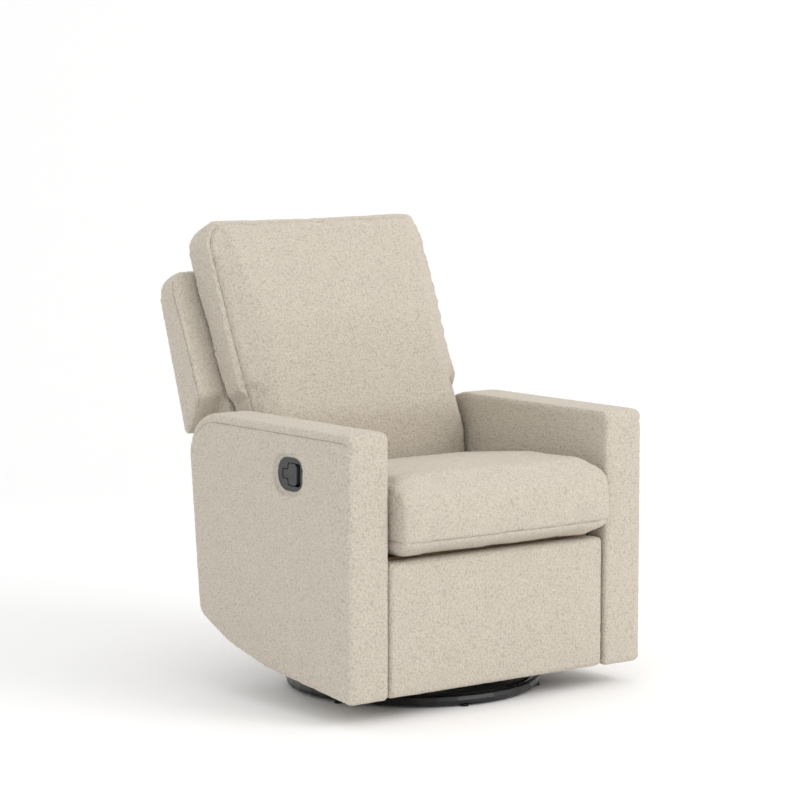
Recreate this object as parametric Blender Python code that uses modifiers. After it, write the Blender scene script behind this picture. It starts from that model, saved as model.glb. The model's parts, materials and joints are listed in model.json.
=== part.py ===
"""Swivel glider recliner for a nursery, in metres, +Z up.

The sitter faces -Y, so the sitter's right hand is on -X. The floor is z = 0 and the origin is the
middle of the chair's footprint. Side outlines are drawn as (depth, height): depth runs back from the
front faces of the arms, height runs up from the floor. Back outlines are drawn as (forward, up) in the
plane of the back, measured from the recline pivot.
"""

import math

import bmesh
import bpy
from mathutils import Matrix, Vector

# Overall sizes
CHAIR_WIDTH = 0.800
FRONT_Y = -0.374  # the arm fronts, which puts the origin under the middle of the chair
TOUCH = 0.0003  # the gap left between pieces that touch
RUNNING = 0.0035  # the gap beside upholstery that slides past upholstery
PIVOT_PLAY = 0.0003  # a hole's radius over its pin's

# Arms
ARM_WIDTH = 0.100
ARM_HEIGHT = 0.612
ARM_DEPTH = 0.606
ARM_FRONT_BOTTOM = 0.049
ARM_REAR_BOTTOM = 0.171
ARM_REAR_RADIUS = 0.095
ARM_FRONT_RADIUS = 0.020
ARM_EDGE = 0.010
ARM_PADDING = 0.018
ARM_BOLT_RADIUS = 0.004
ARM_BOLTS = ((0.278, 0.302), (0.370, 0.302))

# Base, swivel and turntable
SWIVEL_DEPTH = 0.302
RING_RADIUS = 0.285
RING_TUBE = 0.011
RING_SIDES = 40
PAD_HEIGHT = 0.0040
PAD_RADIUS = 0.009
PAD_COUNT = 6
PAD_FIRST_ANGLE = 16.0
CROSS_THICKNESS = 0.006
CROSS_WIDTH = 0.050
BEARING_HEIGHT = 0.0080
BEARING_RADIUS = 0.085
TURNTABLE_RADIUS = 0.258
TURNTABLE_THICKNESS = 0.004
TURNTABLE_LIP = 0.006
BOLT_RADIUS = 0.008
RIVET_HEAD = 0.005

# Glide: four equal links hang the chair from the cradle on the turntable
LINK_LENGTH = 0.120
LINK_WIDTH = 0.024
LINK_THICKNESS = 0.004
GLIDE_TOP = 0.235
GLIDE_FRONT_DEPTH = 0.210
GLIDE_REAR_DEPTH = 0.394
SHAFT_RADIUS = 0.006
CRADLE_HALF_WIDTH = 0.1525
CRADLE_PLATE = 0.005
CRADLE_BAR = (0.030, 0.020)
BEAM = (0.030, 0.020)
BEAM_BOTTOM = 0.262
BEAM_SET_OUT = 0.028  # the beams stand this far out from the glide pivots
HANGER_PLATE = 0.005

# Seat
SEAT_OVERHANG = 0.030
SEAT_REAR_DEPTH = 0.476
SEAT_BOTTOM = 0.347
SEAT_FRONT_TOP = 0.507
SEAT_REAR_TOP = 0.476
SEAT_ROUNDING = 0.035
SIDE_PLATE = 0.005
RAIL = (0.035, 0.040)
RAIL_TOP = 0.340
FRONT_RAIL_DEPTH = 0.055
REAR_RAIL_DEPTH = 0.420
SEAT_SPRINGS = 3
SPRING_WIRE = 0.002
SPRING_SWING = 0.022
SPRING_WAVES = 5

# Footrest: arm, riser and guide links carry the front panel up and out
PANEL_BOTTOM = 0.049
PANEL_TOP = 0.338
PANEL_THICKNESS = 0.048
PANEL_WRAP = 0.0065
BOARD_THICKNESS = 0.018
STRIP = 0.004
STRIP_WIDTH = 0.020
STUD_RADIUS = 0.005
STRIP_GAP = 0.002
FOOT_PIVOT = (0.120, 0.275)
FOOT_ARM = 0.215
FOOT_RISER_LESS = 0.035  # the riser is this much shorter than the arm, which keeps the head height
FOOT_ARM_REST = math.radians(3)
FOOT_RISER_REST = math.radians(9)
FOOT_COUPLER = 0.035
FOOT_COUPLER_REST = math.radians(8)
FOOT_TUBE_RADIUS = 0.009
FOOT_TUBE_FROM_KNEE = 0.115

# Back
RECLINE_PIVOT = (0.500, 0.360)
BACK_LEAN = math.radians(22)
BACK_HALF_WIDTH = 0.368
BACK_TOP = 0.602
BACK_WING_FRONT = 0.300
BACK_WING_TIP = 0.2194
BACK_SHELL_BOTTOM = 0.060
BACK_FLAP_BOTTOM = -0.020
BACK_FLAP_HALF_WIDTH = 0.262
BACK_TOP_RADIUS = 0.055
BACK_CAVITY_HALF_WIDTH = 0.276
BACK_FRAME_THICKNESS = 0.032
BACK_FRAME_FRONT = -0.019
BACK_STILE = 0.045
BACK_RAIL = 0.042
BACK_BRACKET = 0.005
BACK_BRACKET_TOP = 0.320
BACK_SPRINGS = 2
BACK_CUSHION_HALF_WIDTH = 0.312
BACK_CUSHION_TOP = 0.698
BACK_CUSHION_STEP = 0.272
BACK_CUSHION_EDGE = 0.078  # the front panel's sides stand this far forward, its middle further
BACK_CUSHION_FLAT = 0.225  # half the width of the panel's flatter middle

# Release handle in the sitter's right arm
HANDLE_DEPTH = 0.207
HANDLE_DROP = 0.0985  # from the top of the arm to the middle of the handle
HANDLE_FLANGE = (0.090, 0.072)
HANDLE_CUP = (0.080, 0.062)
HANDLE_CUP_DEPTH = 0.034
HANDLE_WALL = 0.0025
HANDLE_FLANGE_THICKNESS = 0.003
HANDLE_CORNER = 0.033  # the plate is nearly oval
HANDLE_CUP_CORNER = 0.018
HANDLE_GRIP_END = 0.0363  # the opening's front end, ahead of the handle's middle
LEVER_THICKNESS = 0.009
LEVER_SINK = 0.001  # below the plate's face
LEVER_STEM = 0.019
LEVER_BAR = (0.030, 0.047)
LEVER_BAR_REAR = 0.0087
LEVER_REAR = 0.0267
LEVER_GAP = 0.0015
LEVER_PIN_RADIUS = 0.002
LEVER_PIN_FROM_REAR = 0.0042
CABLE_RADIUS = 0.0025
CABLE_HOLE = (0.200, 0.272)

ARM_INNER = CHAIR_WIDTH / 2 - ARM_WIDTH
HANDLE_HEIGHT = ARM_HEIGHT - HANDLE_DROP
LEVER_PIN_DEPTH = HANDLE_DEPTH + LEVER_REAR - LEVER_PIN_FROM_REAR
LEVER_PIN_X = LEVER_THICKNESS / 2 + LEVER_SINK - HANDLE_FLANGE_THICKNESS - TOUCH - CHAIR_WIDTH / 2
FOOT_RISER = FOOT_ARM - FOOT_RISER_LESS
BETWEEN_ARMS = ARM_INNER - RUNNING
CROSS_BOTTOM = PAD_HEIGHT + TOUCH + RING_TUBE - CROSS_THICKNESS / 2
CROSS_TOP = CROSS_BOTTOM + CROSS_THICKNESS
BEARING_BOTTOM = CROSS_TOP + TOUCH
TURNTABLE_BOTTOM = BEARING_BOTTOM + BEARING_HEIGHT + TOUCH
TURNTABLE_TOP = TURNTABLE_BOTTOM + TURNTABLE_THICKNESS
PLATE_OUTER = ARM_INNER - TOUCH
PLATE_INNER = PLATE_OUTER - SIDE_PLATE
GUIDE_OUTER = PLATE_INNER - STRIP_GAP
ARM_LINK_OUTER = GUIDE_OUTER - STRIP - STRIP_GAP
RISER_OUTER = ARM_LINK_OUTER - STRIP - STRIP_GAP
LINK_INNER = CRADLE_HALF_WIDTH + 0.004
HANGER_INNER = LINK_INNER + LINK_THICKNESS + 0.011
BRACKET_INNER = 0.270
GLIDE_BOTTOM = GLIDE_TOP - LINK_LENGTH
SIDES = (("right", -1), ("left", 1))

MATERIALS = {
    "boucle": ((0.72, 0.65, 0.56), 0.95, 0.0),
    "steel": ((0.015, 0.015, 0.016), 0.38, 0.6),
    "zinc": ((0.55, 0.55, 0.54), 0.35, 1.0),
    "wood": ((0.62, 0.45, 0.28), 0.65, 0.0),
    "plastic": ((0.03, 0.03, 0.032), 0.45, 0.0),
    "rubber": ((0.02, 0.02, 0.02), 0.85, 0.0),
}

SIDE_VIEW = Matrix(((0, 0, 1, 0), (1, 0, 0, FRONT_Y), (0, 1, 0, 0), (0, 0, 0, 1)))
BACK_FRAME = (
    Matrix.Translation((0, FRONT_Y + RECLINE_PIVOT[0], RECLINE_PIVOT[1]))
    @ Matrix.Rotation(-BACK_LEAN, 4, "X")
)
BACK_SIDE = BACK_FRAME @ Matrix(((0, 0, 1, 0), (-1, 0, 0, 0), (0, 1, 0, 0), (0, 0, 0, 1)))
BACK_FACE = BACK_FRAME @ Matrix(((1, 0, 0, 0), (0, 0, -1, 0), (0, 1, 0, 0), (0, 0, 0, 1)))
BACK_PLAN = BACK_FRAME @ Matrix(((1, 0, 0, 0), (0, -1, 0, 0), (0, 0, 1, 0), (0, 0, 0, 1)))


def clear_scene():
    for obj in list(bpy.data.objects):
        bpy.data.objects.remove(obj, do_unlink=True)


def new_collection(name, hidden=False):
    collection = bpy.data.collections.new(name)
    collection.hide_render = hidden
    bpy.context.scene.collection.children.link(collection)
    return collection


def finish_of(kind, piece_name):
    """A material of its own for one piece."""
    colour, roughness, metallic = MATERIALS[kind]
    material = bpy.data.materials.new(f"{kind}_{piece_name}")
    material.use_nodes = True
    shader = material.node_tree.nodes["Principled BSDF"]
    shader.inputs["Base Color"].default_value = (*colour, 1)
    shader.inputs["Roughness"].default_value = roughness
    shader.inputs["Metallic"].default_value = metallic
    return material


def place(name, data, kind, axis=None):
    """Adds a finished piece to the chair; axis is the empty on its joint."""
    obj = bpy.data.objects.new(name, data)
    PARTS.objects.link(obj)
    data.materials.append(finish_of(kind, name))
    if axis is not None:
        obj.parent = axis
        obj.matrix_parent_inverse = axis.matrix_world.inverted()
    return obj


def axis_at(name, location, parent=None):
    empty = bpy.data.objects.new(name, None)
    empty.empty_display_size = 0.05
    PARTS.objects.link(empty)
    empty.location = location
    if parent is not None:
        empty.parent = parent
        empty.matrix_parent_inverse = parent.matrix_world.inverted()
    bpy.context.view_layer.update()
    return empty


def side_point(depth, height, x=0.0):
    return Vector((x, FRONT_Y + depth, height))


def rounded(corners, steps=4):
    """The outline through (a, b, radius) corners, each rounded by an arc."""
    points = []
    for index, (a, b, radius) in enumerate(corners):
        here = Vector((a, b))
        before = Vector(corners[index - 1][:2]) - here
        after = Vector(corners[(index + 1) % len(corners)][:2]) - here
        half = before.angle(after) / 2
        reach = min(radius / math.tan(half), 0.49 * before.length, 0.49 * after.length)
        if reach < 1e-5:
            points.append(here)
            continue
        start, end = here + before.normalized() * reach, here + after.normalized() * reach
        arc_radius = reach * math.tan(half)
        middle = (before.normalized() + after.normalized()).normalized()
        centre = here + middle * (arc_radius / math.sin(half))
        turn = (start - centre).angle_signed(end - centre)
        for step in range(steps + 1):
            angle = -turn * step / steps
            spoke = (start - centre).copy()
            spoke.rotate(Matrix.Rotation(angle, 2))
            points.append(centre + spoke)
    return points


def circle(a, b, radius, steps=12):
    turns = (2 * math.pi * (step + 0.5) / steps for step in range(steps))
    return [Vector((a + radius * math.cos(turn), b + radius * math.sin(turn))) for turn in turns]


def strip_outline(start, end, width, steps=5):
    """A flat bar with round ends round two pivots."""
    start, end = Vector(start), Vector(end)
    along = math.atan2(end.y - start.y, end.x - start.x)
    points = []
    for centre, first in ((end, along - math.pi / 2), (start, along + math.pi / 2)):
        for step in range(steps + 1):
            angle = first + math.pi * step / steps
            points.append(centre + Vector((math.cos(angle), math.sin(angle))) * width / 2)
    return points


def box_outline(width, height, radius, a=0.0, b=0.0):
    corners = [(-1, -1), (1, -1), (1, 1), (-1, 1)]
    return rounded([(a + s * width / 2, b + t * height / 2, radius) for s, t in corners])


def plate_mesh(name, outlines, low, high, frame):
    """A flat sheet between low and high across the frame's third axis; later outlines are holes."""
    curve = bpy.data.curves.new(name, "CURVE")
    curve.dimensions = "2D"
    curve.fill_mode = "BOTH"
    curve.extrude = (high - low) / 2
    for outline in outlines:
        spline = curve.splines.new("POLY")
        spline.points.add(len(outline) - 1)
        for point, place_at in zip(spline.points, outline):
            point.co = (*place_at, 0, 1)
        spline.use_cyclic_u = True
    flat = bpy.data.objects.new(name, curve)
    CUTTERS.objects.link(flat)
    bpy.context.view_layer.update()
    mesh = bpy.data.meshes.new_from_object(flat.evaluated_get(bpy.context.evaluated_depsgraph_get()))
    bpy.data.objects.remove(flat, do_unlink=True)
    bpy.data.curves.remove(curve)
    shape = bmesh.new()
    shape.from_mesh(mesh)
    bmesh.ops.remove_doubles(shape, verts=shape.verts, dist=1e-6)
    shape.transform(frame @ Matrix.Translation((0, 0, (low + high) / 2)))
    bmesh.ops.recalc_face_normals(shape, faces=shape.faces)
    if shape.calc_volume(signed=True) < 0:
        bmesh.ops.reverse_faces(shape, faces=shape.faces)
    shape.to_mesh(mesh)
    shape.free()
    mesh.name = name
    return mesh


def plate(name, outlines, low, high, kind, axis=None, frame=SIDE_VIEW):
    return place(name, plate_mesh(name, outlines, low, high, frame), kind, axis)


def both_ends(side, inner, outer):
    """A stretch of |x| on one side of the chair, as low and high x."""
    return (inner, outer) if side > 0 else (-outer, -inner)


def block_mesh(name, low, high):
    shape = bmesh.new()
    bmesh.ops.create_cube(shape, size=1)
    low, high = Vector(low), Vector(high)
    size = Matrix.Diagonal((*(high - low), 1))
    shape.transform(Matrix.Translation((low + high) / 2) @ size)
    mesh = bpy.data.meshes.new(name)
    shape.to_mesh(mesh)
    shape.free()
    return mesh


def block(name, low, high, kind, axis=None):
    return place(name, block_mesh(name, low, high), kind, axis)


def rod_mesh(name, start, end, radius, segments=12):
    start, end = Vector(start), Vector(end)
    run = end - start
    shape = bmesh.new()
    bmesh.ops.create_cone(
        shape, cap_ends=True, segments=segments, radius1=radius, radius2=radius, depth=run.length
    )
    turn = Vector((0, 0, 1)).rotation_difference(run).to_matrix().to_4x4()
    shape.transform(Matrix.Translation((start + end) / 2) @ turn)
    mesh = bpy.data.meshes.new(name)
    shape.to_mesh(mesh)
    shape.free()
    mesh.shade_smooth()
    mesh.set_sharp_from_angle(angle=math.radians(40))
    return mesh


def rod(name, start, end, radius, kind, axis=None, segments=12):
    return place(name, rod_mesh(name, start, end, radius, segments), kind, axis)


def turned(name, profile, centre, kind, axis=None, steps=24, ring=False):
    """A turned piece: profile is (radius, height) down its outer side."""
    mesh = bpy.data.meshes.new(name)
    edges = [(index, index + 1) for index in range(len(profile) - 1)]
    if ring:
        edges.append((len(profile) - 1, 0))
    mesh.from_pydata([(radius, 0, height) for radius, height in profile], edges, [])
    obj = place(name, mesh, kind, axis)
    obj.matrix_world = Matrix.Translation((*centre, 0))
    spin = obj.modifiers.new("turn", "SCREW")
    spin.steps = spin.render_steps = steps
    spin.use_merge_vertices = True
    spin.merge_threshold = 0.00001
    spin.use_smooth_shade = False
    return obj


def tube(name, points, radius, kind, axis=None, resolution=2):
    curve = bpy.data.curves.new(name, "CURVE")
    curve.dimensions = "3D"
    curve.bevel_depth = radius
    curve.bevel_resolution = resolution
    curve.use_fill_caps = True
    spline = curve.splines.new("POLY")
    spline.points.add(len(points) - 1)
    for point, position in zip(spline.points, points):
        point.co = (*position, 1)
    return place(name, curve, kind, axis)


def helper(name, mesh):
    obj = bpy.data.objects.new(name, mesh)
    obj.hide_render = True
    obj.display_type = "WIRE"
    CUTTERS.objects.link(obj)
    return obj


def combine(obj, mesh, operation):
    """Cuts, joins or intersects a piece with a helper shape."""
    modifier = obj.modifiers.new(operation.lower(), "BOOLEAN")
    modifier.operation = operation
    if operation == "UNION":
        modifier.solver = "MANIFOLD"  # EXACT leaves the long thin faces of a pierced plate open
    modifier.object = helper(f"{obj.name}_{operation.lower()}_{len(obj.modifiers)}", mesh)
    return modifier.object


def soften(obj, width, segments=3, angle=50):
    bevel = obj.modifiers.new("edge", "BEVEL")
    bevel.width = width
    bevel.segments = segments
    bevel.limit_method = "ANGLE"
    bevel.angle_limit = math.radians(angle)


def offset_corners(corners, distances):
    """Moves each edge of a counter-clockwise outline inwards by its own distance."""
    count = len(corners)
    lines = []
    for index in range(count):
        here, ahead = Vector(corners[index][:2]), Vector(corners[(index + 1) % count][:2])
        run = (ahead - here).normalized()
        inward = Vector((-run.y, run.x))
        lines.append((here + inward * distances[index], run))
    moved = []
    for index in range(count):
        (p, u), (q, v) = lines[index - 1], lines[index]
        cross = u.x * v.y - u.y * v.x
        along = ((q - p).x * v.y - (q - p).y * v.x) / cross
        radius = max(corners[index][2] - max(distances[index - 1], distances[index]), 0.004)
        moved.append((*(p + u * along), radius))
    return moved


def sinuous(start, end, swing, waves, across):
    """The zigzag wire of a sinuous spring, from start to end."""
    start, end, across = Vector(start), Vector(end), Vector(across)
    count = waves * 6
    return [
        start.lerp(end, step / count) + across * swing * math.sin(2 * math.pi * waves * step / count)
        for step in range(count + 1)
    ]


# Base


def build_base():
    ring_y = FRONT_Y + SWIVEL_DEPTH
    bpy.ops.mesh.primitive_torus_add(
        location=(0, ring_y, PAD_HEIGHT + TOUCH + RING_TUBE),
        major_radius=RING_RADIUS - RING_TUBE,
        minor_radius=RING_TUBE,
        major_segments=RING_SIDES,
        minor_segments=8,
    )
    torus = bpy.context.object
    mesh = torus.data.copy()
    mesh.transform(torus.matrix_world)
    bpy.data.objects.remove(torus, do_unlink=True)
    mesh.shade_smooth()
    place("base_ring", mesh, "steel")

    half, fillet = CROSS_WIDTH / 2, 0.03
    inside_ring = (RING_RADIUS - 2 * RING_TUBE) * math.cos(math.pi / RING_SIDES) - TOUCH
    reach = math.sqrt(inside_ring**2 - half**2)
    corners = []
    for quarter in range(4):
        turn = Matrix.Rotation(math.radians(45 + 90 * quarter), 2)
        for a, b, radius in ((half, half, fillet), (reach, half, 0.004), (reach, -half, 0.004)):
            corners.append((*(turn @ Vector((a, -b))), radius))
    ordered = sorted(corners, key=lambda corner: math.atan2(corner[1], corner[0]))
    outline = [Vector(point) for point in rounded(ordered)]
    centre = Matrix.Translation((0, ring_y, 0))
    plate(
        "base_cross",
        [outline, circle(0, 0, BOLT_RADIUS + PIVOT_PLAY)],
        CROSS_BOTTOM,
        CROSS_TOP,
        "steel",
        frame=centre,
    )
    for pad in range(PAD_COUNT):
        angle = math.radians(PAD_FIRST_ANGLE + 360 / PAD_COUNT * pad)
        spot = Vector((math.cos(angle), math.sin(angle), 0)) * (RING_RADIUS - RING_TUBE)
        spot.y += ring_y
        top = spot + Vector((0, 0, PAD_HEIGHT))
        rod(f"base_pad_{pad + 1}", spot, top, PAD_RADIUS, "rubber")

    inner = BEARING_RADIUS - 0.026
    bearing_top = BEARING_BOTTOM + BEARING_HEIGHT
    turned(
        "swivel_bearing",
        [
            (BEARING_RADIUS - 0.002, bearing_top),
            (BEARING_RADIUS, bearing_top - 0.002),
            (BEARING_RADIUS, BEARING_BOTTOM),
            (inner, BEARING_BOTTOM),
            (inner, bearing_top),
        ],
        (0, ring_y),
        "zinc",
        ring=True,
    )
    head = BOLT_RADIUS * 1.75
    head_bottom = CROSS_BOTTOM - TOUCH - RIVET_HEAD
    upper_head = TURNTABLE_TOP + TOUCH
    turned(
        "swivel_rivet",
        [
            (0, upper_head + RIVET_HEAD),
            (head - 0.003, upper_head + RIVET_HEAD),
            (head, upper_head + RIVET_HEAD - 0.003),
            (head, upper_head),
            (BOLT_RADIUS, upper_head),
            (BOLT_RADIUS, CROSS_BOTTOM - TOUCH),
            (head, CROSS_BOTTOM - TOUCH),
            (head, head_bottom),
            (0, head_bottom),
        ],
        (0, ring_y),
        "zinc",
        steps=24,
    )


def build_turntable(axis):
    ring_y = FRONT_Y + SWIVEL_DEPTH
    hole = BOLT_RADIUS + PIVOT_PLAY
    lip = TURNTABLE_BOTTOM - TURNTABLE_LIP
    thick = TURNTABLE_THICKNESS
    edge = TURNTABLE_RADIUS
    turned(
        "turntable_plate",
        [
            (hole, TURNTABLE_TOP),
            (edge - 0.030, TURNTABLE_TOP),
            (edge - 0.006, TURNTABLE_TOP - 0.004),
            (edge, lip + thick),
            (edge, lip + 0.001),
            (edge - thick, lip + 0.001),
            (edge - thick - 0.004, lip + thick),
            (edge - 0.030, TURNTABLE_BOTTOM),
            (hole, TURNTABLE_BOTTOM),
        ],
        (0, ring_y),
        "steel",
        axis,
        steps=RING_SIDES,
        ring=True,
    )
    low = TURNTABLE_TOP + TOUCH
    inner = CRADLE_HALF_WIDTH - CRADLE_PLATE
    ear = LINK_WIDTH * 0.75
    bar_depths = (GLIDE_FRONT_DEPTH - 0.010, GLIDE_REAR_DEPTH + 0.010)
    for end, depth in zip(("front", "rear"), bar_depths):
        y = FRONT_Y + depth
        block(
            f"cradle_bar_{end}",
            (-inner + TOUCH, y - CRADLE_BAR[0] / 2, low),
            (inner - TOUCH, y + CRADLE_BAR[0] / 2, low + CRADLE_BAR[1]),
            "steel",
            axis,
        )
    foot_front, foot_rear = bar_depths[0] - CRADLE_BAR[0] / 2, bar_depths[1] + CRADLE_BAR[0] / 2
    top = GLIDE_TOP + ear
    waist = (GLIDE_FRONT_DEPTH + GLIDE_REAR_DEPTH) / 2
    corners = [
        (foot_front, low, 0.004),
        (foot_rear, low, 0.004),
        (GLIDE_REAR_DEPTH + ear, top, 0.016),
        (GLIDE_REAR_DEPTH - ear, top, 0.016),
        (GLIDE_REAR_DEPTH - ear, GLIDE_TOP - 0.060, 0.030),
        (GLIDE_FRONT_DEPTH + ear, GLIDE_TOP - 0.060, 0.030),
        (GLIDE_FRONT_DEPTH + ear, top, 0.016),
        (GLIDE_FRONT_DEPTH - ear, top, 0.016),
    ]
    window = rounded(
        [
            (waist - 0.055, low + 0.030, 0.010),
            (waist + 0.055, low + 0.030, 0.010),
            (waist + 0.045, low + 0.095, 0.010),
            (waist - 0.045, low + 0.095, 0.010),
        ]
    )
    pivot_holes = [
        circle(depth, GLIDE_TOP, SHAFT_RADIUS + PIVOT_PLAY)
        for depth in (GLIDE_FRONT_DEPTH, GLIDE_REAR_DEPTH)
    ]
    for hand, side in SIDES:
        ends = both_ends(side, inner, CRADLE_HALF_WIDTH)
        plate(
            f"cradle_side_{hand}", [rounded(corners), window, *pivot_holes], *ends, "steel", axis
        )
    reach = LINK_INNER + LINK_THICKNESS + 0.0025
    for end, depth in (("front", GLIDE_FRONT_DEPTH), ("rear", GLIDE_REAR_DEPTH)):
        rod(
            f"glide_shaft_{end}",
            side_point(depth, GLIDE_TOP, -reach),
            side_point(depth, GLIDE_TOP, reach),
            SHAFT_RADIUS,
            "zinc",
            axis,
        )


def build_glide_links(axes):
    for end, depth in (("front", GLIDE_FRONT_DEPTH), ("rear", GLIDE_REAR_DEPTH)):
        bar = strip_outline((depth, GLIDE_TOP), (depth, GLIDE_BOTTOM), LINK_WIDTH)
        holes = [circle(depth, z, SHAFT_RADIUS + PIVOT_PLAY) for z in (GLIDE_TOP, GLIDE_BOTTOM)]
        for hand, side in SIDES:
            ends = both_ends(side, LINK_INNER, LINK_INNER + LINK_THICKNESS)
            plate(f"glide_link_{end}_{hand}", [bar, *holes], *ends, "steel", axes[end])


# Chair


def arm_corners():
    return [
        (0, ARM_FRONT_BOTTOM, 0.012),
        (ARM_DEPTH * 0.50, ARM_FRONT_BOTTOM + 0.035, 0.300),
        (ARM_DEPTH * 0.73, ARM_FRONT_BOTTOM + 0.068, 0.300),
        (ARM_DEPTH * 0.92, ARM_REAR_BOTTOM, 0.035),
        (ARM_DEPTH, ARM_HEIGHT, ARM_REAR_RADIUS),
        (0, ARM_HEIGHT, ARM_FRONT_RADIUS),
    ]


def build_side_frames(chair):
    """Steel side plates with their studs, the cross beams and the hangers of the glide."""
    pivot_depth, pivot_height = RECLINE_PIVOT
    foot_depth, foot_height = FOOT_PIVOT
    front, rear = FRONT_RAIL_DEPTH, pivot_depth + 0.020
    low, step = 0.250, RAIL_TOP - RAIL[1]
    corners = [
        (foot_depth - STRIP_WIDTH, low, 0.015),
        (SEAT_REAR_DEPTH - 0.006, low, 0.030),
        (rear, pivot_height - 0.020, 0.020),
        (rear, pivot_height + 0.024, 0.020),
        (pivot_depth - 0.016, pivot_height + 0.024, 0.012),
        (SEAT_REAR_DEPTH - 0.014, RAIL_TOP, 0.020),
        (front, RAIL_TOP, 0.005),
        (front, step, 0.005),
        (foot_depth - STRIP_WIDTH, step, 0.008),
    ]
    holes = [circle(depth, height, ARM_BOLT_RADIUS + PIVOT_PLAY, 12) for depth, height in ARM_BOLTS]
    for hand, side in SIDES:
        outlines = [rounded(corners), *holes]
        if side < 0:
            outlines.append(circle(*CABLE_HOLE, CABLE_RADIUS + 0.001, 12))
        ends = both_ends(side, PLATE_INNER, PLATE_OUTER)
        side_plate = plate(f"side_plate_{hand}", outlines, *ends, "steel", chair)
        for depth, height, reach, radius in (
            (foot_depth, foot_height, ARM_LINK_OUTER - STRIP - 0.001, STUD_RADIUS),
            (pivot_depth, pivot_height, BRACKET_INNER - 0.002, SHAFT_RADIUS),
        ):
            start = side_point(depth, height, side * (PLATE_OUTER - 0.001))
            end = side_point(depth, height, side * reach)
            combine(side_plate, rod_mesh("stud", start, end, radius), "UNION")
        strap_inner, strap_outer = PLATE_INNER - TOUCH - 0.003, PLATE_INNER - TOUCH
        ends = both_ends(side, strap_inner, strap_outer)
        bar = strip_outline(*ARM_BOLTS, STRIP_WIDTH)
        clamp = plate(f"arm_clamp_{hand}", [bar], *ends, "zinc", chair)
        for depth, height in ARM_BOLTS:
            start = side_point(depth, height, side * (strap_inner - 0.004))
            end = side_point(depth, height, side * (ARM_INNER + 0.060))
            combine(clamp, rod_mesh("bolt", start, end, ARM_BOLT_RADIUS, 12), "UNION")

    beam_span = PLATE_INNER - TOUCH
    beam_depths = (
        ("front", GLIDE_FRONT_DEPTH - BEAM_SET_OUT),
        ("rear", GLIDE_REAR_DEPTH + BEAM_SET_OUT),
    )
    for end, depth in beam_depths:
        y = FRONT_Y + depth
        block(
            f"cross_beam_{end}",
            (-beam_span, y - BEAM[0] / 2, BEAM_BOTTOM),
            (beam_span, y + BEAM[0] / 2, BEAM_BOTTOM + BEAM[1]),
            "steel",
            chair,
        )
    top = BEAM_BOTTOM - TOUCH
    foot, head_in = LINK_WIDTH * 0.8, 0.010
    corners = [
        (GLIDE_FRONT_DEPTH - foot, GLIDE_BOTTOM - foot, 0.015),
        (GLIDE_REAR_DEPTH + foot, GLIDE_BOTTOM - foot, 0.015),
        (GLIDE_REAR_DEPTH + BEAM_SET_OUT + BEAM[0] / 2, top, 0.003),
        (GLIDE_FRONT_DEPTH - BEAM_SET_OUT - BEAM[0] / 2, top, 0.003),
    ]
    window = rounded(
        [
            (GLIDE_FRONT_DEPTH + head_in, GLIDE_BOTTOM + 0.025, 0.015),
            (GLIDE_REAR_DEPTH - head_in, GLIDE_BOTTOM + 0.025, 0.015),
            (GLIDE_REAR_DEPTH - head_in, top - 0.030, 0.015),
            (GLIDE_FRONT_DEPTH + head_in, top - 0.030, 0.015),
        ]
    )
    for hand, side in SIDES:
        ends = both_ends(side, HANGER_INNER, HANGER_INNER + HANGER_PLATE)
        hanger = plate(f"glide_hanger_{hand}", [rounded(corners), window], *ends, "steel", chair)
        for depth in (GLIDE_FRONT_DEPTH, GLIDE_REAR_DEPTH):
            start = side_point(depth, GLIDE_BOTTOM, side * (HANGER_INNER + HANGER_PLATE - 0.001))
            end = side_point(depth, GLIDE_BOTTOM, side * (LINK_INNER - 0.002))
            combine(hanger, rod_mesh("pin", start, end, SHAFT_RADIUS), "UNION")


def build_seat(chair):
    span = PLATE_INNER - TOUCH
    for end, depth in (("front", FRONT_RAIL_DEPTH), ("rear", REAR_RAIL_DEPTH)):
        low = (-span, FRONT_Y + depth, RAIL_TOP - RAIL[1])
        high = (span, FRONT_Y + depth + RAIL[0], RAIL_TOP)
        block(f"seat_rail_{end}", low, high, "wood", chair)
    spring_z = RAIL_TOP + TOUCH + SPRING_WIRE
    pitch = 2 * span / SEAT_SPRINGS
    for spring in range(SEAT_SPRINGS):
        x = -span + pitch * (spring + 0.5)
        start = side_point(FRONT_RAIL_DEPTH + 0.010, spring_z, x)
        end = side_point(REAR_RAIL_DEPTH + RAIL[0] - 0.010, spring_z, x)
        wire = sinuous(start, end, SPRING_SWING, SPRING_WAVES, (1, 0, 0))
        tube(f"seat_spring_{spring + 1}", wire, SPRING_WIRE, "zinc", chair, resolution=1)

    corners = [
        (-SEAT_OVERHANG, SEAT_BOTTOM, 0),
        (SEAT_REAR_DEPTH, SEAT_BOTTOM, 0),
        (SEAT_REAR_DEPTH, SEAT_REAR_TOP, 0),
        (SEAT_REAR_DEPTH * 0.4, SEAT_FRONT_TOP - 0.003, 0.2),
        (-SEAT_OVERHANG, SEAT_FRONT_TOP, 0),
    ]
    cushion = plate(
        "seat_cushion", [rounded(corners)], -BETWEEN_ARMS, BETWEEN_ARMS, "boucle", chair
    )
    soften(cushion, SEAT_ROUNDING, 3)


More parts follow.
